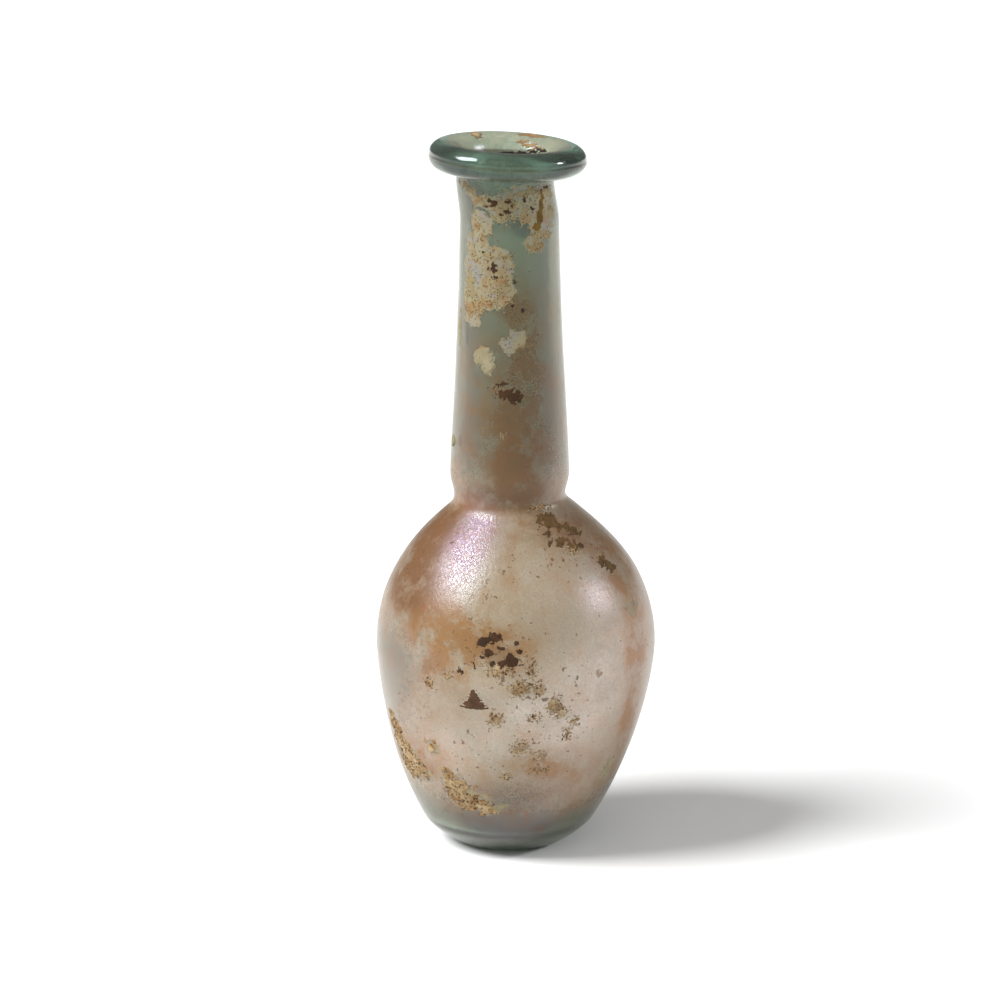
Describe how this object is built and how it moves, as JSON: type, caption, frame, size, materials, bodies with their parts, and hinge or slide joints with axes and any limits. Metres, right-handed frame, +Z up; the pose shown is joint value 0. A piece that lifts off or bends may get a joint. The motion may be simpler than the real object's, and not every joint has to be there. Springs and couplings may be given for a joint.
{
  "type": "glass perfume flask",
  "caption": "Free-blown glass perfume flask with an egg-shaped belly, a tall tapering neck and a thick rolled collar, weathered and iridescent.",
  "frame": {"origin": "centre of the bounding box at the surface the flask stands on, which is the belly's centre line", "axes": "+Z up along the flask's height, +X to the right as seen from the front, so that -Y faces the viewer"},
  "size_m": [0.054, 0.054, 0.1388],
  "materials": {
    "weathered_glass": "blue-green glass, smooth, under a milky and partly iridescent film of weathering with a crust of soil"
  },
  "bodies": {
    "root": {"flask": "weathered_glass"}
  },
  "joints": []
}
